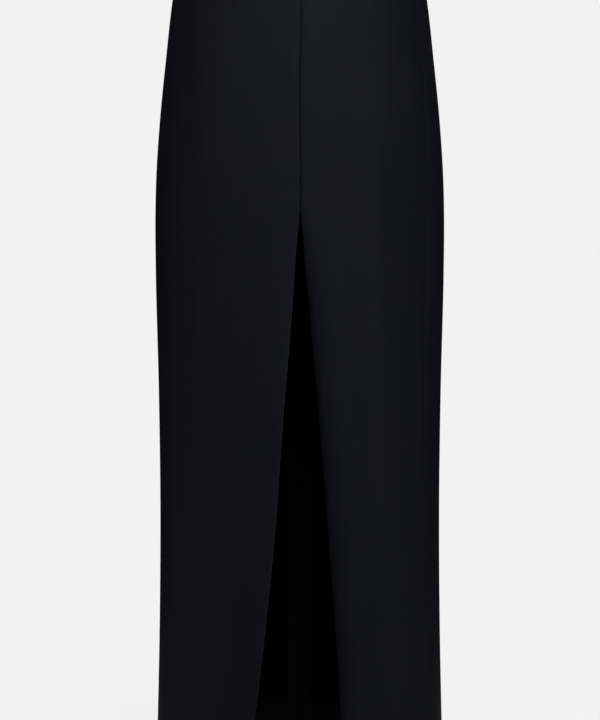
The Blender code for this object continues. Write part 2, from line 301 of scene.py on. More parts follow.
# %% The level sections
LENGTH = 1.050
BAND_HEIGHT = 0.035
SEAM_GAP = 0.0003
SIGN = {"left": 1, "right": -1}  # of X, on the wearer's side
SLIT_TOP = -0.380
HEM_TURN = 0.040
SECTION_COLUMNS = ("height", "half_width", "front", "back", "left_seam", "right_seam")
SECTIONS = (
    (0.000, 0.1400, 0.0990, 0.1045, 0.905, 0.975),
    (-0.035, 0.1452, 0.1035, 0.1095, 0.905, 0.975),
    (-0.070, 0.1515, 0.1080, 0.1165, 0.905, 0.976),
    (-0.115, 0.1588, 0.1130, 0.1270, 0.904, 0.978),
    (-0.190, 0.1672, 0.1185, 0.1385, 0.900, 0.980),
    (-0.265, 0.1746, 0.1220, 0.1430, 0.890, 0.983),
    (-0.340, 0.1794, 0.1238, 0.1430, 0.876, 0.985),
    (-0.390, 0.1804, 0.1247, 0.1424, 0.868, 0.985),
    (-0.4525, 0.1799, 0.1258, 0.1420, 0.866, 0.985),
    (-0.6025, 0.1761, 0.1290, 0.1440, 0.874, 0.987),
    (-0.7525, 0.1741, 0.1330, 0.1470, 0.898, 0.990),
    (-0.9025, 0.1750, 0.1365, 0.1505, 0.924, 0.993),
    (-1.050, 0.1780, 0.1400, 0.1550, 0.945, 0.995),
)
SQUARENESS = 2.15  # exponent of the section's curve; 2 is an ellipse
NORMAL_REACH = 0.002  # the outward direction is read across this much cloth on each side
SLIT_COLUMNS = ("height", "right_edge", "left_edge")
SLIT = (
    (-0.3800, -0.0002, 0.0002),
    (-0.4400, -0.0050, 0.0056),
    (-0.4925, -0.0082, 0.0109),
    (-0.6375, -0.0198, 0.0247),
    (-0.7826, -0.0308, 0.0366),
    (-0.9277, -0.0461, 0.0478),
    (-1.0500, -0.0610, 0.0543),
)


def table(columns, rows):
    """The rows as one array a column, by the column's name."""
    return {name: np.array(values) for name, values in zip(columns, zip(*rows))}


SHAPE = table(SECTION_COLUMNS, SECTIONS)
EDGES = table(SLIT_COLUMNS, SLIT)


def at_height(columns, name, height):
    """One column's value at a height, on a smooth curve through the rows."""
    x = -columns["height"]
    y = columns[name]
    slopes = np.gradient(y, x)
    place = min(max(-height, x[0]), x[-1])
    i = min(int(np.searchsorted(x, place, side="right")) - 1, len(x) - 2)
    span = x[i + 1] - x[i]
    t = (place - x[i]) / span
    return (
        (1 + 2 * t) * (1 - t) ** 2 * y[i]
        + t * (1 - t) ** 2 * span * slopes[i]
        + t**2 * (3 - 2 * t) * y[i + 1]
        - t**2 * (1 - t) * span * slopes[i + 1]
    )


def ease(value):
    """0 below 0, 1 above 1, and smooth between."""
    t = np.clip(value, 0.0, 1.0)
    return t * t * (3 - 2 * t)


def bell(distance, width):
    """1 at no distance, fading to 0 within about two widths."""
    return np.exp(-((distance / width) ** 2))


print(f"{len(SECTIONS)} sections, {len(SLIT)} rows for the slit")

# %% [markdown]
# ## Folds and creases
#
# A thick smooth crepe hangs almost flat. What shows are long soft folds that run down the
# cloth, and small uneven creases where a seam holds it: beside the centre seam, above the end
# of the slit and near the foot of the zip. Each is a row of a table. A fold lifts or sinks the
# cloth in a smooth bump across its width and fades at both ends. The centre seam itself drifts a
# millimetre or so to one side and back.

# %% The folds and creases
FOLD_COLUMNS = ("top", "foot", "around_at_top", "around_at_foot", "width", "rise", "fade")
FOLDS = (
    (-0.170, -1.150, 0.180, 0.215, 0.021, 0.0034, 0.200),
    (-0.330, -1.150, 0.300, 0.330, 0.026, -0.0018, 0.200),
    (-0.200, -0.900, -0.225, -0.245, 0.024, 0.0022, 0.200),
    (-0.480, -1.150, -0.330, -0.350, 0.026, -0.0012, 0.200),
    (-0.420, -1.200, 0.640, 0.620, 0.026, 0.0048, 0.200),
    (-0.500, -1.200, 0.745, 0.735, 0.024, -0.0036, 0.200),
    (-0.360, -1.200, 0.860, 0.850, 0.028, 0.0050, 0.200),
    (-0.560, -1.200, 0.950, 0.945, 0.022, -0.0030, 0.200),
    (-0.460, -1.200, -0.625, -0.600, 0.028, 0.0042, 0.200),
    (-0.400, -1.200, -0.735, -0.720, 0.022, -0.0032, 0.200),
    (-0.440, -1.200, -0.835, -0.835, 0.026, 0.0056, 0.200),
    (-0.600, -1.200, -0.930, -0.940, 0.024, -0.0034, 0.200),
)
CREASES = (
    (-0.130, -0.360, 0.030, 0.016, 0.0080, 0.00050, 0.060),
    (-0.110, -0.330, -0.026, -0.015, 0.0070, 0.00042, 0.060),
    (-0.260, -0.520, 0.085, 0.110, 0.0120, -0.00045, 0.080),
    (-0.300, -0.560, -0.078, -0.105, 0.0110, -0.00040, 0.080),
    (-0.040, -0.175, 0.560, 0.590, 0.0110, -0.00060, 0.050),
    (-0.060, -0.220, 0.880, 0.900, 0.0090, 0.00070, 0.060),
    (-0.180, -0.330, 0.955, 0.930, 0.0100, -0.00080, 0.050),
    (-0.050, -0.190, -0.570, -0.600, 0.0110, -0.00055, 0.050),
    (-0.070, -0.240, -0.890, -0.905, 0.0090, 0.00060, 0.060),
    (-0.190, -0.350, -0.960, -0.925, 0.0100, -0.00075, 0.050),
    (-0.620, -1.120, 0.120, 0.150, 0.0130, 0.00060, 0.120),
    (-0.700, -1.150, -0.180, -0.200, 0.0150, 0.00070, 0.120),
)
WAVES = ((0.0290, 0.4, 0.45), (0.0173, 2.1, 0.30), (0.0461, 4.0, 0.25))  # length, phase, share
DRIFT_COLUMNS = ("height", "drift")
DRIFT = (
    (-0.035, 0.0010),
    (-0.110, 0.0016),
    (-0.170, 0.0014),
    (-0.215, -0.0001),
    (-0.270, 0.0000),
    (-0.320, 0.0006),
    (-0.380, 0.0006),
    (-0.460, 0.0000),
    (-1.050, 0.0000),
)
DRIFT_WIDTH = 0.030  # the centre seam's drift dies away over this much cloth
SEAM_DRIFT = table(DRIFT_COLUMNS, DRIFT)


def uneven(height, start=0.0):
    """An uneven wave down the cloth, from about -1 to 1."""
    total = 0.0
    for length, phase, share in WAVES:
        total += share * math.sin(2 * math.pi * height / length + phase + start)
    return total


def folds(around, half, height):
    """How far the folds and creases lift the cloth at places round one section."""
    lift = np.zeros_like(around)
    for row in FOLDS + CREASES:
        fold = dict(zip(FOLD_COLUMNS, row))
        shows = ease((fold["top"] - height) / fold["fade"])
        shows *= ease((height - fold["foot"]) / fold["fade"])
        if shows == 0.0:
            continue
        down = (fold["top"] - height) / (fold["top"] - fold["foot"])
        centre = fold["around_at_top"] + down * (fold["around_at_foot"] - fold["around_at_top"])
        offset = (around - centre + 1) % 2 - 1
        lift += fold["rise"] * shows * bell(offset * half, fold["width"])
    return lift


print(f"{len(FOLDS)} folds, {len(CREASES)} creases")

# %% [markdown]
# ## A place on the cloth
#
# `Section` is the level curve at one height. It gives a point for any distance along the cloth
# and any depth below its face, so a folded edge is simply a path that runs out to the fold at
# the cloth's own depth and comes back one layer deeper.


# %% The curve at one height
class Section:
    """The level curve at one height, measured along the cloth from the centre front."""

    FINE = 1441

    def __init__(self, height):
        self.height = height
        self.half_width = at_height(SHAPE, "half_width", height)
        turn = np.linspace(-math.pi, math.pi, self.FINE)
        power = 2 / SQUARENESS
        front = -at_height(SHAPE, "front", height)
        depth = np.where(np.cos(turn) > 0, front, at_height(SHAPE, "back", height))
        self.x = self.half_width * np.sign(np.sin(turn)) * np.abs(np.sin(turn)) ** power
        self.y = depth * np.abs(np.cos(turn)) ** power
        steps = np.hypot(np.diff(self.x), np.diff(self.y))
        self.along = np.concatenate([[0.0], np.cumsum(steps)])
        self.along -= self.along[self.FINE // 2]
        self.half = self.along[-1]

    def front_place(self, x):
        """The distance along the cloth of the point x across the front."""
        front = slice(self.FINE // 4, 3 * self.FINE // 4 + 1)
        return float(np.interp(x, self.x[front], self.along[front]))

    def side_seam(self, side):
        share = at_height(SHAPE, f"{side}_seam", self.height)
        return self.front_place(SIGN[side] * share * self.half_width)

    def slit_edge(self, side):
        """Where a front panel ends at the centre front."""
        if self.height >= SLIT_TOP:
            return SIGN[side] * SEAM_GAP / 2
        return self.front_place(at_height(EDGES, f"{side}_edge", self.height))

    def bare(self, places):
        """Points on the curve, where a place may run on past the centre back."""
        places = (places + self.half) % (2 * self.half) - self.half
        x = np.interp(places, self.along, self.x)
        return np.column_stack([x, np.interp(places, self.along, self.y)])

    def points(self, places, inward, heights=None):
        """Points on the folded cloth, each moved in from its face by a depth."""
        places = np.asarray(places, dtype=float)
        drift = at_height(SEAM_DRIFT, "drift", self.height)
        places = places + drift * bell(places, DRIFT_WIDTH)
        forward = self.bare(places + NORMAL_REACH) - self.bare(places - NORMAL_REACH)
        normal = np.column_stack([forward[:, 1], -forward[:, 0]])
        normal /= np.hypot(forward[:, 0], forward[:, 1])[:, None]
        lift = folds(places / self.half, self.half, self.height) - inward
        flat = self.bare(places) + normal * lift[:, None]
        if heights is None:
            heights = np.full(len(places), self.height)
        return np.column_stack([flat, heights])


made_sections = {}


def section_at(height):
    """The section at a height, made once."""
    key = round(height, 6)
    if key not in made_sections:
        made_sections[key] = Section(height)
    return made_sections[key]


hip = section_at(SLIT_TOP)
print(f"girth at the top of the slit: {2 * hip.half:.3f} m")

# %% [markdown]
# ## The crepe
#
# Crepe is woven from tightly twisted threads that shrink unevenly, so its face is a fine
# irregular pebble with hardly any shine. The weave is drawn on each panel's own flat pattern,
# its UV map in metres, so the threads run down the cloth and bend with it. Long faint bars down
# the warp give the uneven streaks of a real bolt. The same material with other values is the
# wrong side, painted far darker than the face as shade for the skirt's dark inside. A point
# attribute is above 0 on folded edges, which an iron leaves smoother, and there it paints a
# highlight into the colour. Below 0 it paints shade into the crack of a sewn seam and along the
# rolled edge of the slit.

# %% Cloth materials
WARP_PITCH = 0.00052
WEFT_PITCH = 0.00060
PEBBLE_SIZE = 0.0011
MOTTLE_SIZE = 0.090
CRINKLE = 0.0006  # how far the threads stray
SLUB_SCALE = (1100.0, 55.0, 1.0)  # thick places in single threads, across and along
BAR_SCALE = (150.0, 2.2, 1.0)  # bars down the warp
PATCHES_FROM, PATCHES_TO = 0.38, 0.66  # of the mottle
RELIEF_HEIGHT = 0.00012


def waves(value, pitch):
    """Threads at a pitch along one direction of the cloth."""
    return value.graph.maths("SINE", value * (2 * math.pi / pitch))


def streaks(graph, flat, scale, detail):
    """Noise drawn out along the cloth by a different scale in each direction."""
    drawn = graph.add("ShaderNodeMapping", {}, {"Vector": flat, "Scale": scale})
    return graph.noise(drawn, 1.0, detail)


def crepe(name, tone, tint, roughness, relief, painted_light_gain):
    """A crepe of one tone, with another tint in large soft patches."""
    constants = {
        "Specular IOR Level": 0.08,
        "Sheen Weight": 0.004,
        "Sheen Roughness": 0.45,
        "Sheen Tint": (0.80, 0.88, 1.0, 1.0),
        "Specular Tint": (0.86, 0.90, 1.0, 1.0),
    }
    material, graph, shader = new_material(name, constants)
    flat, across, along = graph.pattern()
    pebble = graph.noise(flat, 1 / PEBBLE_SIZE, 2.0)
    mottle = graph.noise(flat, 1 / MOTTLE_SIZE, 3.0)
    slub = streaks(graph, flat, SLUB_SCALE, 1.0)
    bars = streaks(graph, flat, BAR_SCALE, 2.0)
    stray = (pebble - 0.5) * CRINKLE
    threads = waves(across + stray, WARP_PITCH) * waves(along - stray, WEFT_PITCH)
    pressed = graph.attribute("pressed")
    patches = graph.rising(mottle, PATCHES_FROM, PATCHES_TO)
    colour = graph.mix(patches, (*tone, 1.0), (*tint, 1.0))
    shade = 0.65 + 0.26 * pebble + 0.08 * threads + 0.14 * slub + 0.30 * bars
    # painted light: pressed edges are painted paler as a highlight, seam cracks and the slit's
    # rolled edge darker as shade
    shade = shade + painted_light_gain * pressed
    dull = roughness + 0.10 * (mottle - 0.5) + 0.16 * (bars - 0.5) - 0.10 * pressed
    height = 0.55 * pebble + 0.22 * threads + 0.23 * slub
    graph.dress(shader, graph.shaded(colour, shade), dull, height, relief, RELIEF_HEIGHT)
    return material


FACE_TONES = (0.0090, 0.0097, 0.0144), (0.0097, 0.0102, 0.0149)
# the wrong side is painted about five times darker than the face, a painted shade for the skirt's
# dark inside; it is also rougher, as a real wrong side
WRONG_SIDE_SHADED_TONES = (0.0019, 0.0020, 0.0027), (0.0023, 0.0023, 0.0030)
crepe_face = crepe("crepe face", *FACE_TONES, roughness=0.52, relief=0.55, painted_light_gain=0.28)
crepe_back = crepe("crepe wrong side", *WRONG_SIDE_SHADED_TONES, roughness=0.90, relief=0.35, painted_light_gain=0.0)
print("cloth:", crepe_face.name, "and", crepe_back.name)

# %% [markdown]
# ## Tape, thread and enamel
#
# The zip's tape is a firm narrow twill of zigzag ribs. Thread is a twisted polyester with a
# faint gleam. The coil is bare nylon. The slider, its pull and the stop are zinc under a black
# enamel, which has worn a little where fingers and the bridge rub it.

# %% Trim materials
TWILL_PITCH = 0.0011
TWILL_TONE = (0.0125, 0.0125, 0.0150)
FUZZ_SCALE, BRUSH_SCALE, SPOT_SCALE = 900.0, 1600.0, 420.0
TWILL_RELIEF, THREAD_RELIEF, ENAMEL_RELIEF = 0.00015, 0.00005, 0.00006
WORN_FROM, WORN_TO = 0.86, 0.98
ENAMEL_TONE, METAL_TONE = (0.005, 0.005, 0.006, 1.0), (0.30, 0.29, 0.28, 1.0)


def tape_cloth():
    constants = {"Specular IOR Level": 0.12, "Sheen Weight": 0.01, "Sheen Roughness": 0.4}
    material, graph, shader = new_material("zip tape twill", constants)
    flat, across, along = graph.pattern()
    fuzz = graph.noise(flat, FUZZ_SCALE, 3.0)
    ribs = waves(along + graph.maths("PINGPONG", across, 2 * TWILL_PITCH), TWILL_PITCH)
    colour = graph.shaded(TWILL_TONE, 0.82 + 0.12 * ribs + 0.22 * fuzz)
    graph.dress(shader, colour, 0.70 + 0.15 * fuzz, ribs + fuzz, 0.6, TWILL_RELIEF)
    return material


def spun(name, tone, roughness, grain, relief):
    """Thread or nylon: one tone with a fine grain along it."""
    material, graph, shader = new_material(name, {"Specular IOR Level": 0.35})
    noise = graph.noise(graph.add("ShaderNodeTexCoord", output="Object"), grain, 2.0)
    colour = graph.mix(noise, grey(0.7 * tone), grey(1.3 * tone))
    dull = roughness - 0.1 + 0.2 * noise
    graph.dress(shader, colour, dull, noise, relief, THREAD_RELIEF)
    return material


def enamel(name):
    """Black enamel on zinc, with small worn spots where the pale metal shows."""
    constants = {"Coat Roughness": 0.22, "Specular IOR Level": 0.25}
    material, graph, shader = new_material(name, constants)
    place = graph.add("ShaderNodeTexCoord", output="Object")
    brush = graph.noise(place, BRUSH_SCALE, 4.0)
    spots = graph.noise(place, SPOT_SCALE, 5.0)
    worn = graph.rising(spots + 0.42 * graph.attribute("rubbed"), WORN_FROM, WORN_TO)
    graph.link(worn, shader, "Metallic")
    graph.link(0.22 - 0.22 * worn, shader, "Coat Weight")
    dull = 0.38 + 0.16 * brush - 0.04 * worn
    colour = graph.mix(worn, ENAMEL_TONE, METAL_TONE)
    graph.dress(shader, colour, dull, spots - worn, 0.25, ENAMEL_RELIEF)
    return material


twill = tape_cloth()
thread = spun("black thread", 0.0150, 0.60, 5200.0, 0.5)
nylon = spun("coil nylon", 0.0130, 0.38, 2600.0, 0.2)
black_enamel = enamel("black enamel")
print("trim:", ", ".join(m.name for m in (twill, thread, nylon, black_enamel)))

# %% [markdown]
# ## Gathering rows into a mesh
#
# Each cloth piece is a grid of points: rows run down the skirt, columns run across it. The form
# below collects rows, remembers where each point lies on the flat pattern, and turns them into a
# thin sheet. Solidify then gives the sheet the thickness of one layer of crepe, with the wrong
# side as a second material.

# %% Cloth forms
CLOTH = 0.0005  # one layer of the crepe
RENDER_COLLECTION = bpy.context.scene.collection


class ClothForm:
    """Rows of points that make one sheet, each with its place on the flat pattern."""

    def __init__(self):
        self.points = []
        self.flat = []
        self.pressed = []
        self.faces = []
        self.upper = None

    def row(self, points, across, down, pressed):
        """Adds a row and gives the numbers of its points."""
        start = len(self.points)
        self.points.extend(map(tuple, points))
        self.flat.extend(zip(across, np.broadcast_to(down, len(points))))
        self.pressed.extend(np.broadcast_to(pressed, len(points)))
        return list(range(start, len(self.points)))

    def join(self, upper, lower):
        """Faces between a row and the one below it. Both run towards the wearer's left."""
        for i in range(len(upper) - 1):
            self.faces.append((upper[i], lower[i], lower[i + 1], upper[i + 1]))

    def hang(self, row):
        """Hangs a row from the one before it."""
        if self.upper:
            self.join(self.upper, row)
        self.upper = row

    def make(self, name, materials):
        mesh = bpy.data.meshes.new(name)
        mesh.from_pydata(self.points, [], self.faces)
        for material in materials:
            mesh.materials.append(material)
        pattern = mesh.uv_layers.new(name="cloth")
        corner_points = np.empty(len(mesh.loops), dtype=np.int32)
        mesh.loops.foreach_get("vertex_index", corner_points)
        pattern.data.foreach_set("uv", np.array(self.flat)[corner_points].ravel())
        # the point attribute that paints highlights on pressed edges and shade in seam cracks
        pressed = mesh.attributes.new("pressed", "FLOAT", "POINT")
        pressed.data.foreach_set("value", np.array(self.pressed, dtype=np.float32))
        mesh.shade_smooth()
        return linked(name, mesh)


def linked(name, data):
    """A new object in the scene."""
    piece = bpy.data.objects.new(name, data)
    RENDER_COLLECTION.objects.link(piece)
    return piece


def drawn_mesh(piece):
    """The mesh of an object as it is drawn, with its modifiers."""
    graph = bpy.context.evaluated_depsgraph_get()
    return bpy.data.meshes.new_from_object(piece.evaluated_get(graph), depsgraph=graph)


def plain(piece):
    """Turns a piece with modifiers into a plain mesh."""
    mesh = drawn_mesh(piece)
    mesh.name = piece.name
    piece.modifiers.clear()
    piece.data = mesh
    return piece


def thicken(cloth, thickness=CLOTH, back=1):
    """Gives a sheet its thickness, half to each side, and its wrong side a material."""
    solid = cloth.modifiers.new("Thickness", "SOLIDIFY")
    solid.thickness = thickness
    solid.offset = 0.0
    solid.material_offset = back
    return plain(cloth)


def settle(piece, body, node=None):
    """Hangs a piece from its body's empty, hides the CAD node it replaces, and prints its
    triangles.
    """
    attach(piece, body)
    if node:
        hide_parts(node)
    piece.data.calc_loop_triangles()
    print(f"{piece.name}: {len(piece.data.loop_triangles)} triangles")
    return piece


print("one layer of crepe:", CLOTH * 1000, "mm")

# %% [markdown]
# ## The path across a panel
#
# A dressmaker presses every seam open, so a panel's cloth starts at the cut edge of its
# allowance inside the skirt, runs out to the seam, folds round and crosses the face to the other
# seam, where it does the same. Tracing that path, as distances and depths, gives real folded
# edges at the seams and along the slit, with rows of points packed close where the cloth bends.

# %% Trace the path
LAYER_STEP = 0.0006  # from the middle of one layer to the middle of the next
FACE_DEPTH = CLOTH / 2
SEWN_OVERLAP = 0.00017  # the folded edges of a seam meet
EDGE_STATIONS = (0.0, 0.0004, 0.0010, 0.0018, 0.0030, 0.0048, 0.0075, 0.0115)
STRIP_SHARES = (1.0, 0.97, 0.66, 0.33, 0.06, 0.0)
FOLD_ANGLES = (60, 30, 0, -30, -60)


def turned_edge(strip, layers):
    """A turned strip and its fold, from the cut edge out to the face."""
    radius = layers * LAYER_STEP / 2
    centre = FACE_DEPTH + radius - SEWN_OVERLAP
    distance = [centre + (strip - centre) * share for share in STRIP_SHARES]
    depth = [FACE_DEPTH + 2 * radius] * len(distance)
    for angle in map(math.radians, FOLD_ANGLES):
        distance.append(centre - radius * math.cos(angle))
        depth.append(FACE_DEPTH + radius + radius * math.sin(angle))
    return distance, depth, centre


def spread(stops, counts):
    """Stations from the first stop to the last, close together beside each stop."""
    stations = [stops[0]]
    for start, end, count in zip(stops, stops[1:], counts):
        near, far = start + EDGE_STATIONS[-1], end - EDGE_STATIONS[-1]
        stations += [start + step for step in EDGE_STATIONS[1:]]
        stations += list(np.linspace(near, far, count + 2)[1:-1])
        stations += [end - step for step in reversed(EDGE_STATIONS)]
    return stations


def path_across(width, strips, layers, breaks, counts):
    """Distances, depths and flat places from one cut edge to the other, and the face's part."""
    first, first_depth, first_centre = turned_edge(strips[0], layers[0])
    last, last_depth, last_centre = turned_edge(strips[1], layers[1])
    face = spread([first_centre, *breaks, width - last_centre], counts)
    distance = np.array(first + face + [width - step for step in reversed(last)])
    depth = np.array(first_depth + [FACE_DEPTH] * len(face) + last_depth[::-1])
    flat = np.concatenate([[0.0], np.cumsum(np.hypot(np.diff(distance), np.diff(depth)))])
    flat -= flat[len(first)]
    return distance, depth, flat, slice(len(first), len(first) + len(face))


sample = path_across(0.17, (0.012, 0.012), (1, 1), (), (20,))
print(f"{len(sample[0])} points across a panel 170 mm wide")

# %% [markdown]
# ## How seams, darts and edges shape the face
#
# A seam pulls its line in a little and unevenly, and the cloth puffs up beside it, less at the
# sides than at the centre. A dart does the same, and ends in nothing. An open edge of the slit
# isn't held by a seam, so it rolls in towards the body, more on the wearer's left.

# %% Seams, darts and the slit's rolled edges
SINK, SINK_WIDTH = 0.00080, 0.0013
PUFF, PUFF_PLACE, PUFF_WIDTH = 0.00040, 0.0068, 0.0045
PULL_UNEVENNESS = 0.30
PULL_PHASES = {"side": 2.0, "back": 0.7, "front": 0.0, "dart": 1.0}
SIDE_PULL = 0.45  # a side seam pulls this much as hard as a centre seam
TOP_SINK, TOP_SINK_WIDTH = 0.0006, 0.0018
SEAM_ENDS = 0.014  # below the top of the slit its edges are free of the seam's pull
DART_FOOT = -0.150
DART_REACH = 0.090  # from the centre back
DART_FADE = 0.030
DART_TAKES = 0.012  # width of its folded cloth at the waist
ROLL_DEPTH = {"left": 0.0110, "right": 0.0022}
ROLL_WIDTH = {"left": 0.026, "right": 0.014}
ROLL_POWER = {"left": 3, "right": 2}
ROLL_GROWS = 0.150


def seam_form(distance, height, line, pull=1.0):
    """How far a sewn line sinks in, less the puff beside it."""
    sink = SINK * bell(distance, SINK_WIDTH)
    puff = PUFF * bell(distance - PUFF_PLACE, PUFF_WIDTH)
    return pull * (sink - puff) * (1 + PULL_UNEVENNESS * uneven(height, PULL_PHASES[line]))


def roll(side, distance, height):
    """How far an edge of the slit rolls in."""
    nearness = np.clip(1 - distance / ROLL_WIDTH[side], 0.0, None)
    return ROLL_DEPTH[side] * nearness ** ROLL_POWER[side] * ease((SLIT_TOP - height) / ROLL_GROWS)


WAIST_SEAM = -BAND_HEIGHT + SEAM_GAP  # the panels end just inside the band


def face_form(kind, side, distance, width, height):
    """How far the panel's cloth lies in from the smooth curve, at distances across it."""
    from_side = distance if kind == "back" else width - distance
    from_centre = width - from_side
    inward = TOP_SINK * bell(WAIST_SEAM - height, TOP_SINK_WIDTH)
    inward = inward + seam_form(from_side, height, "side", SIDE_PULL)
    centre = seam_form(from_centre, height, kind)
    if kind == "front":
        sewn = 1 - ease((SLIT_TOP - height) / SEAM_ENDS)
        return inward + centre * sewn + roll(side, distance, height)
    dart = seam_form(np.abs(from_centre - DART_REACH), height, "dart")
    return inward + centre + dart * ease((height - DART_FOOT) / DART_FADE)


print(f"a seam sinks {SINK * 1000:.2f} mm")

# %% [markdown]
# ## The four panels
#
# A front panel runs from the centre seam and the slit to its side seam, and a back panel from
# there to the centre back. The facing of the slit is cut in one with the front and turned back,
# wider than the seam allowance above it. The hem is turned up last, inside the side seams'
# allowances and under the facing, so it lies one layer deeper beside a side seam.

# %% Make the panels
SIDE_ALLOWANCE = 0.012
CENTRE_ALLOWANCE = 0.015
SLIT_FACING = 0.030
FACING_GROWS = 0.035
ROW_STEP = 0.0065
COLUMN_STEP = 0.0050
STRIP_WAVINESS = 0.025
SIDE_PHASE, CENTRE_PHASE, SEAM_SHADE_PHASE = 3.0, 5.0, 1.3
EDGE_PAINTED_LIGHT = {"left": -1.3, "right": 1.2}  # a painted shade on the rolled edge, a painted highlight on the flat pressed one
EDGE_WIDTH = {"left": 0.0060, "right": 0.0018}
HEM_STATIONS = (0.0, 0.0004, 0.0030, 0.0110, 0.0220, 0.0330, 0.0392, 0.0396)
HEM_EASE = 0.004
HEM_FOLD = FACE_DEPTH + LAYER_STEP / 2
# how far the painted highlight of a pressed fold reaches
PRESSED_PAINTED_SHINE_WIDTH = 0.0018
CENTRE_SEAM_SHADE, SIDE_SEAM_SHADE, SEAM_SHADE_WIDTH = 1.5, 1.1, 0.0010  # painted shade in the crack of a sewn line, and its width
SEAM_SHADE_UNEVENNESS = 0.35
# the dart's fold is painted paler as a highlight, and made smoother
DART_ROWS, DART_COLUMNS, DART_PRESSED_PAINTED_SHINE = 22, 5, 0.4
DART_TOP_CLEAR, DART_FOOT_CLEAR = 0.0002, 0.004


def strips_at(kind, height):
    """Widths of the turned strips at a panel's two edges."""
    side = SIDE_ALLOWANCE * (1 + STRIP_WAVINESS * uneven(height, SIDE_PHASE))
    wavers = STRIP_WAVINESS * uneven(height, CENTRE_PHASE)
    if kind == "back":
        return side, CENTRE_ALLOWANCE * (1 + wavers)
    grown = ease((SLIT_TOP + FACING_GROWS - height) / FACING_GROWS)
    front = CENTRE_ALLOWANCE + (SLIT_FACING - CENTRE_ALLOWANCE) * grown
    return front * (1 + wavers / 2), side


def panel_rows():
    """Heights from the waist seam down to where the hem starts to fold."""
    stops = (-WAIST_SEAM, -SLIT_TOP, LENGTH - HEM_TURN, LENGTH - HEM_FOLD)
    counts = [max(1, round((b - a) / ROW_STEP) - 2) for a, b in zip(stops, stops[1:])]
    return [-down for down in spread(stops, counts)]


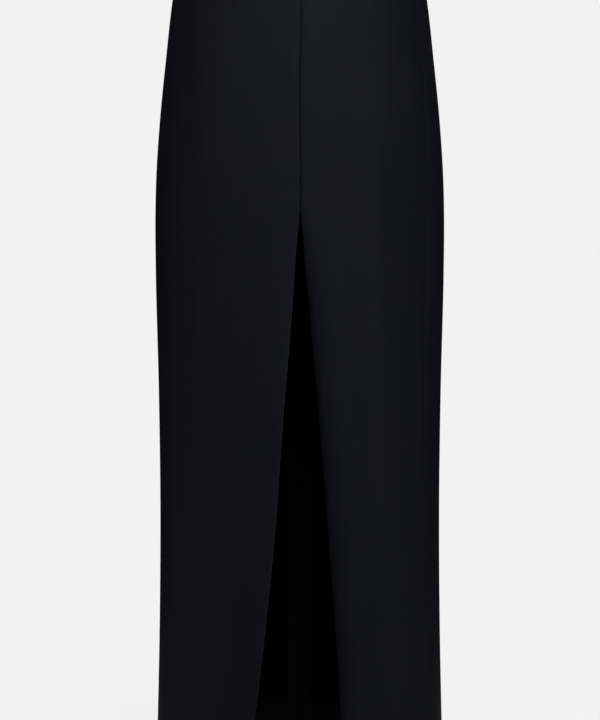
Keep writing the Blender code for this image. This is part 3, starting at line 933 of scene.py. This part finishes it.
class Panel:
    """One panel of the skirt: its sheet and the paths of its cut edges."""

    def __init__(self, kind, side):
        self.kind, self.side, self.sign = kind, side, SIGN[side]
        self.front = kind == "front"
        self.name = f"{kind}_{side}"
        self.form = ClothForm()
        self.cut_widths = []
        self.cut_edges = {"first": [], "last": [], "hem": []}
        face = self.span(SLIT_TOP)[2]
        self.counts = [round(face / COLUMN_STEP)]
        if not self.front:
            dart = round(DART_REACH / COLUMN_STEP) - 2
            self.counts = [round((face - DART_REACH) / COLUMN_STEP), dart]
        self.turn_hem(*self.weave_down())
        if not self.front:
            self.fold_dart()

    def span(self, height):
        """The level curve at a height, where the panel starts on it, and its width."""
        section = section_at(height)
        seam = abs(section.side_seam(self.side))
        if self.front:
            start, end = abs(section.slit_edge(self.side)), seam - SEAM_GAP / 2
        else:
            start, end = seam + SEAM_GAP / 2, section.half - SEAM_GAP / 2
        return section, start, end - start

    def trace(self, height, width):
        """The panel's path at a height."""
        in_hem = float(ease((-LENGTH + HEM_TURN + 2 * HEM_EASE - height) / HEM_EASE))
        layers = (1 + in_hem, 1) if self.front else (1, 1)
        breaks = () if self.front else (width - DART_REACH,)
        return path_across(width, strips_at(self.kind, height), layers, breaks, self.counts)

    def place(self, height, distance, depth, form_height=None, heights=None):
        """Points for distances and depths across the panel."""
        section, start, width = self.span(height)
        form = face_form(self.kind, self.side, distance, width, form_height or height)
        return section.points(self.sign * (start + distance), depth + form, heights)

    def add_row(self, points, flat, down, pressed):
        """Hangs a row from the one before, in the order that runs towards the wearer's left."""
        step = self.sign
        pressed = np.broadcast_to(pressed, len(points))
        row = self.form.row(points[::step], (step * flat)[::step], down, pressed[::step])
        self.form.hang(row)

    def pressed_and_painted_light_at(self, height, distance, width):
        """Painted light: above 0 paints a highlight where an edge is pressed, below 0 paints shade
        in the crack of a seam and on the slit's rolled edge.
        """
        open_edge = float(ease((SLIT_TOP - height) / SEAM_ENDS)) if self.front else 0.0
        seam_shades = (CENTRE_SEAM_SHADE, SIDE_SEAM_SHADE) if self.front else (SIDE_SEAM_SHADE, CENTRE_SEAM_SHADE)
        closed = 1 + SEAM_SHADE_UNEVENNESS * uneven(height, SEAM_SHADE_PHASE)
        shine = EDGE_PAINTED_LIGHT[self.side] * bell(distance, EDGE_WIDTH[self.side])
        first = seam_shades[0] * bell(distance, SEAM_SHADE_WIDTH)
        last = seam_shades[1] * bell(width - distance, SEAM_SHADE_WIDTH)
        return shine * open_edge - closed * (first * (1 - open_edge) + last)

    def weave_down(self):
        """Rows from the waist seam to the hem's fold; gives the face's part of the last row."""
        for height in panel_rows():
            width = self.span(height)[2]
            distance, depth, flat, face = self.trace(height, width)
            points = self.place(height, distance, depth)
            self.add_row(points, flat, height, self.pressed_and_painted_light_at(height, distance, width))
            self.cut_widths.append(float(flat[-1] - flat[0]))
            for edge, cut, inner in (("first", 0, 2), ("last", -1, -3)):
                self.cut_edges[edge].append((points[cut], points[inner] - points[cut]))
        self.form.upper = self.form.upper[:: self.sign][face][:: self.sign]
        return height, width, distance[face], flat[face]

    def turn_hem(self, fold, width, distance, flat):
        """Folds the hem and carries it up inside, from the height where its fold starts."""
        self.hem_width = float(flat[-1] - flat[0])
        beside_seam = width - distance if self.front else distance
        deeper = ease(1 - (beside_seam - SIDE_ALLOWANCE - HEM_EASE) / HEM_EASE)
        radius = (1 + deeper) * LAYER_STEP / 2
        centre = -LENGTH + FACE_DEPTH + radius
        gone = 0.0
        for angle in map(math.radians, reversed(FOLD_ANGLES)):
            depth = FACE_DEPTH + radius + radius * math.sin(angle)
            points = self.place(fold, distance, depth, -LENGTH, centre - radius * math.cos(angle))
            gone += LAYER_STEP / 2
            # the hem's fold is painted paler at full strength, a painted highlight
            self.add_row(points, flat, -LENGTH - gone, 1.0)
        inside = []
        for up in HEM_STATIONS:
            height = -LENGTH + HEM_FOLD + up
            across = distance / width * self.span(height)[2]
            inside.append(self.place(height, across, FACE_DEPTH + 2 * radius))
            # a painted highlight that fades up the inside from the hem's fold
            pressed = math.exp(-up / PRESSED_PAINTED_SHINE_WIDTH)
            self.add_row(inside[-1], flat, -LENGTH - gone - up, pressed)
        self.cut_edges["hem"] = list(zip(inside[-1], inside[-2] - inside[-1]))

    def flat_cut(self):
        """Width, length and area of the cloth that the panel is cut from."""
        down = -np.array(panel_rows())
        widths = np.array(self.cut_widths)
        hem = HEM_STATIONS[-1] + len(FOLD_ANGLES) * LAYER_STEP / 2
        area = float(np.sum(np.diff(down) * (widths[1:] + widths[:-1]) / 2)) + hem * self.hem_width
        return max(self.cut_widths), float(down[-1] - down[0]) + hem, area

    def fold_dart(self):
        """The dart's cloth, folded towards the centre back inside the panel."""
        self.form.upper = None
        ends = WAIST_SEAM - DART_TOP_CLEAR, DART_FOOT + DART_FOOT_CLEAR
        for height in np.linspace(*ends, DART_ROWS):
            takes = DART_TAKES * (height - DART_FOOT) / (WAIST_SEAM - DART_FOOT)
            fold = np.linspace(0.0, 1.0, DART_COLUMNS) * takes
            across = self.span(height)[2] - DART_REACH + fold
            points = self.place(height, across, FACE_DEPTH + LAYER_STEP)
            self.add_row(points, across, height, DART_PRESSED_PAINTED_SHINE)


panels = {}
for kind in ("front", "back"):
    for side in SIGN:
        panel = Panel(kind, side)
        panels[panel.name] = panel
        panel.cloth = thicken(panel.form.make(f"{panel.name}_cloth", (crepe_face, crepe_back)))
        settle(panel.cloth, "root", panel.name)

# %% [markdown]
# ## The waistband
#
# The band is one strip, folded double over a firm interfacing, so it is a flat tube with a round
# top fold. Its cut end is traced once, as heights and depths, and carried round the waist. At
# the centre back it parts in a small notch, where the bridge of the zip's slider stands out.

# %% Make the waistband
BAND_PROUD = 0.0004
BAND_WALL = 0.0024
BAND_CROWN = 0.00028
BAND_RIPPLE = 0.00018
BAND_FOOT_ROUND = 0.0006
BAND_COLUMN_STEP = 0.0055
BAND_FACE_ROWS = 11
NOTCH, NOTCH_HEIGHT, NOTCH_CLOSES = 0.0014, 0.017, 0.004
END_SHAPE = ((0.0016, 1.0), (0.0007, 0.97), (0.0002, 0.82), (0.0, 0.50))  # from the end, share
END_DRAW = 0.02  # how far an end's rows draw together, times what their shares lack


def zip_closes(height):
    """0 in the notch at the top of the zip, and 1 below it."""
    return float(ease((-height - NOTCH_HEIGHT) / NOTCH_CLOSES))


def bend(x, y, radius, start, turn, steps):
    """Points on an arc about (x, y), from an angle in degrees through a turn."""
    angles = np.radians(np.linspace(start, start + turn, steps + 1))
    return [(x + radius * math.cos(a), y + radius * math.sin(a)) for a in angles]


def band_profile():
    """The band's cut end: up the face, over the fold, down the inside and along the foot."""
    half, corner = BAND_WALL / 2, BAND_FOOT_ROUND
    outer, middle, inner = -BAND_PROUD, half - BAND_PROUD, BAND_WALL - BAND_PROUD
    foot = -BAND_HEIGHT + corner
    up = np.linspace(foot, -half, BAND_FACE_ROWS)
    crown = BAND_CROWN * np.sin(np.linspace(0.0, math.pi, BAND_FACE_ROWS))
    profile = list(zip(up, outer - crown))
    profile += bend(-half, middle, half, -90, 180, 8)[1:-1]
    profile += list(zip(up[::-1], inner + crown[::-1] / 2))
    profile += bend(foot, inner - corner, corner, 90, 90, 3)[1:]
    profile += bend(foot, outer + corner, corner, -180, 90, 3)[:-1]
    return profile


def make_band():
    profile = band_profile()
    middle_height = np.mean([height for height, depth in profile])
    middle_depth = BAND_WALL / 2 - BAND_PROUD
    count = round(2 * section_at(0.0).half / BAND_COLUMN_STEP)
    end_steps, end_shares = map(np.array, zip(*END_SHAPE))
    shares = np.concatenate([end_shares[::-1], np.ones(count - 2), end_shares])
    form = ClothForm()
    rows, walked, before = [], 0.0, profile[0]
    for height, depth in profile:
        gap = NOTCH + (SEAM_GAP / 2 - NOTCH) * zip_closes(height)
        ends = section_at(height).half - gap - end_steps
        between = np.linspace(-ends[0], ends[0], count)[1:-1]
        places = np.concatenate([-ends[::-1], between, ends])
        depths = middle_depth + (depth - middle_depth) * shares
        heights = height + (middle_height - height) * (1 - shares) * END_DRAW
        ripple = BAND_RIPPLE * np.array([uneven(place, height * 9) for place in places])
        points = section_at(height).points(places, depths + ripple, heights)
        walked += math.dist((height, depth), before)
        before = (height, depth)
        # a painted highlight along the band's top fold
        pressed = 0.5 * bell(height + BAND_WALL / 2, PRESSED_PAINTED_SHINE_WIDTH)
        rows.append(form.row(points, places, walked, pressed))
    for lower, upper in zip(rows, rows[1:] + rows[:1]):
        form.join(upper, lower)
    form.faces.append([row[0] for row in rows])
    form.faces.append([row[-1] for row in reversed(rows)])
    return form.make("waistband_cloth", (crepe_face,))


band = settle(make_band(), "root", "waistband")

# %% [markdown]
# ## The zip's tapes
#
# The tapes lie inside, behind the band and the back panels, and meet at the centre back. Each
# is a narrow firm strip, so a plain grid with a thickness does for it.

# %% Make the tapes
CAD_CLOTH = 0.0012  # the wall of the CAD panels, which the tapes lie inside
ZIP_LENGTH = 0.200
TAPE_WIDTH = 0.012
TAPE_WALL = 0.0006
TAPE_CLEAR = 0.0005
TAPE_TOP = -0.003
TAPE_STEP = 0.006
TAPE_ROWS = 46
TAPE_SHARES = (0.0, 0.03, 0.12, 0.26, 0.42, 0.58, 0.74, 0.88, 0.97, 1.0)
SELVEDGE_WAVER = 0.00012
PLATE_WIDTH, PLATE_LENGTH, PLATE_WALL = 0.0062, 0.0092, 0.0020


def tape_depth(height):
    """Depth of the middle of the tape, which steps off the band on to the panels."""
    behind_band = float(ease((height + BAND_HEIGHT) / TAPE_STEP + 1))
    step = (BAND_WALL - BAND_PROUD - CAD_CLOTH) * behind_band
    return CAD_CLOTH + TAPE_CLEAR + TAPE_WALL + step


def make_tape(side):
    sign = SIGN[side]
    form = ClothForm()
    room = PLATE_WIDTH / 2 + 2 * SEAM_GAP
    for height in np.linspace(TAPE_TOP, -ZIP_LENGTH, TAPE_ROWS):
        section = section_at(height)
        near = room + (SEAM_GAP - room) * zip_closes(height)
        from_middle = near + (TAPE_WIDTH - near) * np.array(TAPE_SHARES)
        from_middle[-1] += SELVEDGE_WAVER * uneven(height, sign)
        points = section.points(sign * (section.half - from_middle), tape_depth(height))
        form.hang(form.row(points[::-sign], (sign * from_middle)[::-sign], height, 0.0))
    tape = thicken(form.make(f"zip_tape_{side}_twill", (twill,)), TAPE_WALL, 0)
    return settle(tape, "root", f"zip_tape_{side}")


tapes = {side: make_tape(side) for side in SIGN}

# %% [markdown]
# ## Things that repeat along a line
#
# Stitches and the turns of the zip's coil are one small shape again and again. A Geometry Nodes
# tree does it: it walks a path in equal steps, puts a copy of the shape at each step, turned
# with the path, and makes the copies real. The path carries an `into` direction, so that every
# stitch lies the right way round on its edge. The shapes themselves are wires: round tubes
# through a few points, closed at both ends.


# %% A tree that repeats a shape along a path
GIVEN_KINDS = {
    "Path": "Geometry",
    "Shape": "Object",
    "Pitch": "Float",
    "Unevenness": "Float",
    "Seed": "Int",
    "Material": "Material",
}
CAP_MERGE = 1e-7  # a tube's end cap shares the points of its rim


def repeating_tree():
    tree = bpy.data.node_groups.new("repeat along a path", "GeometryNodeTree")
    for name, kind in GIVEN_KINDS.items():
        tree.interface.new_socket(name=name, in_out="INPUT", socket_type=f"NodeSocket{kind}")
    tree.interface.new_socket(name="Geometry", in_out="OUTPUT", socket_type="NodeSocketGeometry")
    graph = Graph(tree)
    given = tree.nodes.new("NodeGroupInput")
    given = {socket.name: Value(graph, socket) for socket in given.outputs if socket.name}
    line = graph.add("GeometryNodeMeshToCurve", {}, {"Mesh": given["Path"]})
    pitch = {"Curve": line, "Length": given["Pitch"]}
    steps = graph.add("GeometryNodeResampleCurve", {"mode": "LENGTH"}, pitch)
    shape = graph.add("GeometryNodeObjectInfo", {}, {"Object": given["Shape"]}, "Geometry")
    directions = {"data_type": "FLOAT_VECTOR"}
    turned = graph.add(
        "FunctionNodeAxesToRotation",
        {"primary_axis": "X", "secondary_axis": "Y"},
        {
            "Primary Axis": graph.add("GeometryNodeInputTangent"),
            "Secondary Axis": graph.add(
                "GeometryNodeInputNamedAttribute", directions, {"Name": "into"}
            ),
        },
    )
    sizes = {2: 1 - given["Unevenness"], 3: 1 + given["Unevenness"], "Seed": given["Seed"]}
    size = graph.add("FunctionNodeRandomValue", {"data_type": "FLOAT"}, sizes, output=1)
    copied = {"Points": steps, "Instance": shape, "Rotation": turned, "Scale": size}
    copies = graph.add("GeometryNodeInstanceOnPoints", {}, copied)
    real = graph.add("GeometryNodeRealizeInstances", {}, {"Geometry": copies})
    finish = {"Geometry": real, "Material": given["Material"]}
    made = graph.add("GeometryNodeSetMaterial", {}, finish)
    graph.link(made, tree.nodes.new("NodeGroupOutput"), "Geometry")
    return tree


repeat_tree = repeating_tree()


def repeat_along(name, lines, shape, pitch, material, unevenness, seed):
    """Copies of a shape along lines. A line is a list of a point and its `into` direction."""
    points = [tuple(point) for line in lines for point, into in line]
    into = np.array([into for line in lines for point, into in line], dtype=float)
    edges, start = [], 0
    for line in lines:
        edges += [(start + i, start + i + 1) for i in range(len(line) - 1)]
        start += len(line)
    mesh = bpy.data.meshes.new(name)
    mesh.from_pydata(points, edges, [])
    directions = mesh.attributes.new("into", "FLOAT_VECTOR", "POINT")
    directions.data.foreach_set("vector", into.ravel())
    piece = linked(name, mesh)
    modifier = piece.modifiers.new("Repeat", "NODES")
    modifier.node_group = repeat_tree
    values = dict(zip(GIVEN_KINDS, (None, shape, pitch, unevenness, seed, material)))
    for socket in repeat_tree.interface.items_tree:
        if values.get(socket.name) is not None:
            modifier[socket.identifier] = values[socket.name]
    plain(piece)
    piece.data.materials.clear()
    piece.data.materials.append(material)
    return piece


def run_mesh(name, runs, closed, **settings):
    """The mesh of a curve that has a run through each list of points."""
    curve = bpy.data.curves.new(name, "CURVE")
    for setting, value in settings.items():
        setattr(curve, setting, value)
    for run in runs:
        spline = curve.splines.new("POLY")
        spline.points.add(len(run) - 1)
        for point, place in zip(spline.points, run):
            point.co = (*place, 1.0)
        spline.use_cyclic_u = closed
    drawn = linked(name, curve)
    mesh = drawn_mesh(drawn)
    bpy.data.objects.remove(drawn)
    return mesh


def fused(name, meshes):
    """One mesh from several."""
    form = bmesh.new()
    for mesh in meshes:
        form.from_mesh(mesh)
    whole = bpy.data.meshes.new(name)
    form.to_mesh(whole)
    form.free()
    return whole


def closed_up(mesh, merge):
    """Welds a mesh's doubles and turns its faces outwards."""
    form = bmesh.new()
    form.from_mesh(mesh)
    bmesh.ops.remove_doubles(form, verts=form.verts, dist=merge)
    bmesh.ops.recalc_face_normals(form, faces=form.faces)
    form.to_mesh(mesh)
    form.free()
    return mesh


def wire(name, runs, radius, resolution, closed=False):
    """A hidden small shape of round wires, each through a list of points, with closed ends."""
    round_wire = {"dimensions": "3D", "bevel_depth": radius, "bevel_resolution": resolution}
    tubes = [run_mesh(name, [run], closed, use_fill_caps=True, **round_wire) for run in runs]
    mesh = fused(name, [closed_up(tube, CAP_MERGE) for tube in tubes])
    mesh.shade_smooth()
    return bpy.data.objects.new(name, mesh)


print("tree:", repeat_tree.name, "with", len(repeat_tree.nodes), "nodes")

# %% [markdown]
# ## Stitches
#
# Inside, every cut edge is overlocked: two legs of thread cross over the edge from a straight
# line of needle stitches. The hem is held by small slanted catches and the band by a row of
# plain stitches. Nothing is stitched through to the face, as on the real skirt.

# %% Sew the edges
OVERLOCK_PITCH = 0.0026
OVERLOCK_DEPTH = 0.0038
OVER_EDGE = 0.0004
OVER_EDGE_LIFT = 0.35  # at the edge, as a share of the lift over the cloth
THREAD_RADIUS = 0.00013
THREAD_LIFT = CLOTH / 2 + THREAD_RADIUS * 0.6
HEM_CATCH_PITCH = 0.0085
SEWN_TO = -LENGTH + 0.004  # the overlock ends just above the hem's fold
PLAIN_PITCH = 0.0027
PLAIN_LENGTH, PLAIN_FLAT = 0.0021, 0.7  # the share of a plain stitch that lies on the cloth
PLAIN_DIP, PLAIN_CREST, PLAIN_RADIUS = 0.00018, 0.00006, 0.00015
BAND_SEWN, BAND_SEWN_SHORT = 0.0022, 0.004  # up from the band's foot, and short of its ends
BAND_THREAD_LIFT = 0.00012
OUTSIDE = 0.001  # any depth outside the cloth, to find which way is out
BAND_POINTS = 200


def overlock_shape():
    """One stitch: X runs along the edge and Y from the edge into the cloth."""
    runs = []
    for z in (THREAD_LIFT, -THREAD_LIFT):
        ends = [(x, OVERLOCK_DEPTH, z) for x in (0.0, OVERLOCK_PITCH)]
        over = (OVERLOCK_PITCH / 2, -OVER_EDGE, OVER_EDGE_LIFT * z)
        runs.append([ends[0], over, ends[1]])
    needle = [runs[0][0], runs[0][-1]]
    return wire("overlock stitch", [*runs, needle], THREAD_RADIUS, 0)


def plain_shape():
    """One stitch along X that dips into the cloth at both ends."""
    half = PLAIN_LENGTH / 2
    ends = ((-half, -PLAIN_DIP), (-PLAIN_FLAT * half, PLAIN_CREST))
    run = [(x, 0.0, z) for x, z in ends] + [(-x, 0.0, z) for x, z in reversed(ends)]
    return wire("plain stitch", [run], PLAIN_RADIUS, 1)


# One hand stitch of the hem slants over its edge.
CATCH = ((-0.0012, 0.0016, THREAD_LIFT), (0.0, -0.0006, 0.0), (0.0012, -0.0013, -THREAD_LIFT))
catch = wire("hem catch", [CATCH], THREAD_RADIUS, 1)
overlock = overlock_shape()
plain_stitch = plain_shape()


for name, panel in panels.items():
    edges = panel.cut_edges.values()
    lines = [[(point, into) for point, into in edge if point[2] > SEWN_TO] for edge in edges]
    overlocked = repeat_along(f"{name}_overlock", lines, overlock, OVERLOCK_PITCH, thread, 0.05, 3)
    hem = [panel.cut_edges["hem"]]
    caught = repeat_along(f"{name}_hem_catches", hem, catch, HEM_CATCH_PITCH, thread, 0.12, 5)
    panel.sewing = [settle(piece, "root") for piece in (overlocked, caught)]


def band_line():
    """Where the stitches run that hold the inside of the band down, just above its foot."""
    section = section_at(-BAND_HEIGHT + BAND_SEWN)
    reach = section.half - BAND_SEWN_SHORT
    places = np.linspace(-reach, reach, BAND_POINTS)
    points = section.points(places, BAND_WALL - BAND_PROUD + BAND_THREAD_LIFT)
    outward = section.points(places, -OUTSIDE) - points
    outward /= np.linalg.norm(outward, axis=1)[:, None]
    return list(zip(points, np.cross(-outward, np.gradient(points, axis=0))))


band_sewing = repeat_along(
    "waistband_stitches", [band_line()], plain_stitch, PLAIN_PITCH, thread, 0.06, 7
)
settle(band_sewing, "root")

# %% [markdown]
# ## The zip's coil
#
# A concealed zip's teeth are one nylon coil on each tape, and closed they mesh along the middle.
# One turn of the coil is a small flat loop. The same tree repeats it down each side, half a turn
# apart. A row of stitches holds each tape, and a small stop ends the coil.

# %% Make the coil and its stitches
COIL_PITCH = 0.0013
COIL_WIRE = 0.00026
COIL_REACH = 0.0015
COIL_LEAN = 0.25 * COIL_PITCH
COIL_HALF_DEPTH = 0.00062
COIL_MIDDLE = 0.0008
COIL_CORNERS = 10
COIL_DEPTH = TAPE_WALL / 2 + COIL_HALF_DEPTH * 0.6
COIL_TOP, COIL_FOOT = -0.0165, -0.1885
TAPE_STITCH_PLACE = 0.0062
TAPE_SEWN_TOP, TAPE_SEWN_FOOT = -0.006, -ZIP_LENGTH + 0.003
ZIP_POINTS = 60


def turn_of_coil():
    """A flat loop across the zip: X down the zip, Y towards its middle, Z out of the skirt."""
    circle = bend(0.0, 0.0, 1.0, 0, 360, COIL_CORNERS)[:-1]
    run = [(COIL_LEAN * c, COIL_REACH * c, COIL_HALF_DEPTH * s) for c, s in circle]
    return wire("turn of the coil", [run], COIL_WIRE, 1, closed=True)


def down_the_zip(sign, from_middle, deeper, top, foot):
    """A line down the inside of the zip, with `into` towards its middle."""
    line = []
    for height in np.linspace(top, foot, ZIP_POINTS):
        section = section_at(height)
        place = sign * (section.half - from_middle)
        point = section.points([place], tape_depth(height) + deeper)[0]
        line.append((point, (-sign, 0.0, 0.0)))
    return [line]


coil_turn = turn_of_coil()
for side, sign in SIGN.items():
    start = COIL_TOP - (COIL_PITCH / 2 if sign > 0 else 0.0)
    line = down_the_zip(sign, COIL_MIDDLE, COIL_DEPTH, start, COIL_FOOT)
    coil = repeat_along(f"zip_coil_{side}", line, coil_turn, COIL_PITCH, nylon, 0.0, 1)
    line = down_the_zip(sign, TAPE_STITCH_PLACE, TAPE_WALL / 2, TAPE_SEWN_TOP, TAPE_SEWN_FOOT)
    row = repeat_along(f"zip_stitches_{side}", line, plain_stitch, PLAIN_PITCH, thread, 0.05, 9)
    [settle(piece, "root") for piece in (coil, row)]

# %% [markdown]
# ## The slider, its pull and the stop
#
# Only the bridge and the pull of a concealed zip's slider show outside. Both are built in the
# slider's own frame, which leans with the band: X across, Y out of the skirt and Z up. Its
# origin is the hinge, where the CAD joint is, so the pull swings about the bridge. The stop is
# made in its place, at the foot of the coil.

# %% Make the metal pieces
HINGE_DROP = 0.0095
HINGE_PROUD = 0.0012
BRIDGE_LENGTH, BRIDGE_BAR, WINDOW_TOP = 0.0076, 0.0012, 0.0011
BRIDGE_CORNER = 0.0016
SHIELD = (  # half the plate's outline: half width, share of the half length, and a rise
    (0.0022, 1.0, 0.0),
    (0.0031, 1.0, -0.0012),
    (0.0031, -0.35, 0.0),
    (0.0023, -1.0, 0.0006),
    (0.0017, -1.0, 0.0),
)
SHIELD_EDGE = 0.00035
PULL_LENGTH, PULL_WALL = 0.024, 0.0010
PULL_HEAD, PULL_FOOT = 0.0046, 0.0060
PULL_EDGE, DROP_CORNER = 0.00022, 0.0006
SLOT_WIDTH, SLOT_LENGTH = 0.0024, 0.0056
EYE_BAR = 0.0011
RIM_HEAD, RIM_FOOT, RIM_LENGTH, RIM_TOP, RIM_RADIUS = 0.0022, 0.0036, 0.0228, -0.0082, 0.00016
STOP_SIZE, STOP_EDGE = (0.0046, 0.0019, 0.0030), 0.00045
RUB_REACH = 0.0035  # the enamel is worn this far from the hinge
SHARP_ANGLE = 40
PIECE_MERGE = 1e-6


def slider_frame():
    """The slider's own frame, with the hinge at its origin."""
    heights = (0.0, -BAND_HEIGHT)
    ends = [section_at(h).points([section_at(h).half], -BAND_PROUD)[0] for h in heights]
    out = ends[1][1] - ends[0][1]
    lean = math.atan2(out, ends[0][2] - ends[1][2])
    hinge = Vector((0.0, ends[0][1] + out * HINGE_DROP / BAND_HEIGHT, -HINGE_DROP))
    hinge += HINGE_PROUD * Vector((0.0, math.cos(lean), math.sin(lean)))
    return Matrix.Translation(hinge) @ Matrix.Rotation(lean, 4, "X")


hinge_frame = slider_frame()


def drop_outline(head, foot, length, top):
    """A slim drop, from one side of its head down round its foot and back up."""
    corner = DROP_CORNER
    side = bend(head / 2 - corner, top - corner, corner, 0, 90, 3)
    other = [(-x, y) for x, y in reversed(side)]
    return side + other + bend(0.0, foot / 2 - length, foot / 2, 180, 180, 18)


def slot_outline(width, top, length):
    """A slot with round ends."""
    r = width / 2
    return bend(0.0, top - r, r, 0, 180, 6) + bend(0.0, top - length + r, r, 180, 180, 6)


def plate(name, outlines, wall, edge):
    """A flat plate with rounded edges, standing upright, from closed outlines."""
    runs = [[(x, y, 0.0) for x, y in outline] for outline in outlines]
    mesh = run_mesh(name, runs, True, dimensions="2D", fill_mode="BOTH", bevel_resolution=3,
                    extrude=wall / 2 - edge, bevel_depth=edge, offset=-edge)
    mesh.transform(Matrix.Rotation(math.pi / 2, 4, "X"))
    return bpy.data.objects.new(name, mesh)


def assemble(name, shapes, body, node):
    """Joins shapes made in the slider's frame into one piece, in its place."""
    mesh = closed_up(fused(name, [shape.data for shape in shapes]), PIECE_MERGE)
    rub = mesh.attributes.new("rubbed", "FLOAT", "POINT")
    values = [bell(vertex.co.length, RUB_REACH) for vertex in mesh.vertices]
    rub.data.foreach_set("value", values)
    mesh.transform(hinge_frame)
    mesh.materials.clear()
    mesh.materials.append(black_enamel)
    mesh.set_sharp_from_angle(angle=math.radians(SHARP_ANGLE))
    return settle(linked(name, mesh), body, node)


def slider_shapes():
    """The slider's plate inside the skirt, and its bridge, which stands out of the notch."""
    deep = -(BAND_WALL + HINGE_PROUD) - TAPE_CLEAR - PLATE_WALL / 2
    side = [(x, share * PLATE_LENGTH / 2 + rise) for x, share, rise in SHIELD]
    shield = side + [(-x, y) for x, y in reversed(side)]
    body = plate("slider plate", [shield], PLATE_WALL, SHIELD_EDGE)
    body.data.transform(Matrix.Translation((0.0, deep, 0.0)))
    reach, corner = (BRIDGE_LENGTH - BRIDGE_BAR) / 2, BRIDGE_CORNER
    out = WINDOW_TOP + BRIDGE_BAR / 2 - corner
    corners = bend(corner - reach, out, corner, 180, -90, 4)
    corners += bend(reach - corner, out, corner, 90, -90, 4)
    line = [(-reach, deep), *corners, (reach, deep)]
    return [body, wire("bridge", [[(0.0, y, z) for z, y in line]], BRIDGE_BAR / 2, 3)]


def pull_shapes():
    """The pull's flat drop with its eye, and a fine raised rim on each face."""
    outline = drop_outline(PULL_HEAD, PULL_FOOT, PULL_LENGTH, EYE_BAR / 2)
    slot = slot_outline(SLOT_WIDTH, -EYE_BAR / 2, SLOT_LENGTH)
    shapes = [plate("pull plate", [outline, slot], PULL_WALL, PULL_EDGE)]
    for face in (1, -1):
        drop = drop_outline(RIM_HEAD, RIM_FOOT, RIM_LENGTH, RIM_TOP)
        ring = [(x, face * PULL_WALL / 2, y) for x, y in drop]
        shapes.append(wire("rim", [ring], RIM_RADIUS, 1, closed=True))
    return shapes


assemble("zip_slider_metal", slider_shapes(), "root", "zip_slider")
assemble("zip_pull_metal", pull_shapes(), "zip_pull", "zip_pull")


def stop_shape():
    """The small clamp that ends the coil."""
    section = section_at(COIL_FOOT)
    middle = section.points([section.half], tape_depth(COIL_FOOT) + COIL_DEPTH)[0]
    bpy.ops.mesh.primitive_cube_add(size=1.0, location=middle)
    stop = bpy.context.object
    stop.name = "zip_bottom_stop"
    stop.scale = STOP_SIZE
    bpy.ops.object.transform_apply(location=True, rotation=False, scale=True)
    bevel = stop.modifiers.new("Rounded edges", "BEVEL")
    bevel.width = STOP_EDGE
    bevel.segments = 3
    stop.data.materials.append(black_enamel)
    stop.data.shade_smooth()
    return plain(stop)


settle(stop_shape(), "root")

# %% [markdown]
# ## The flat cut of each cloth
#
# Every cloth piece began as a flat cut. A panel's cut is its path's length at each row, turned
# strips and all, summed down the skirt, and the hem on top. The band shows once round outside;
# its fold and inner half are more of the same strip. The tapes come off a roll.

# %% State the flat cuts
for panel in panels.values():
    width, length, area = panel.flat_cut()
    print(f"{panel.name}: cut {width:.3f} x {length:.3f} m, {area:.4f} m2")

band_length = 2 * section_at(-BAND_HEIGHT).half
band_mean = section_at(0.0).half + section_at(-BAND_HEIGHT).half
band_mean * BAND_HEIGHT
print(f"waistband: shows {band_length:.3f} x {BAND_HEIGHT:.3f} m all round")
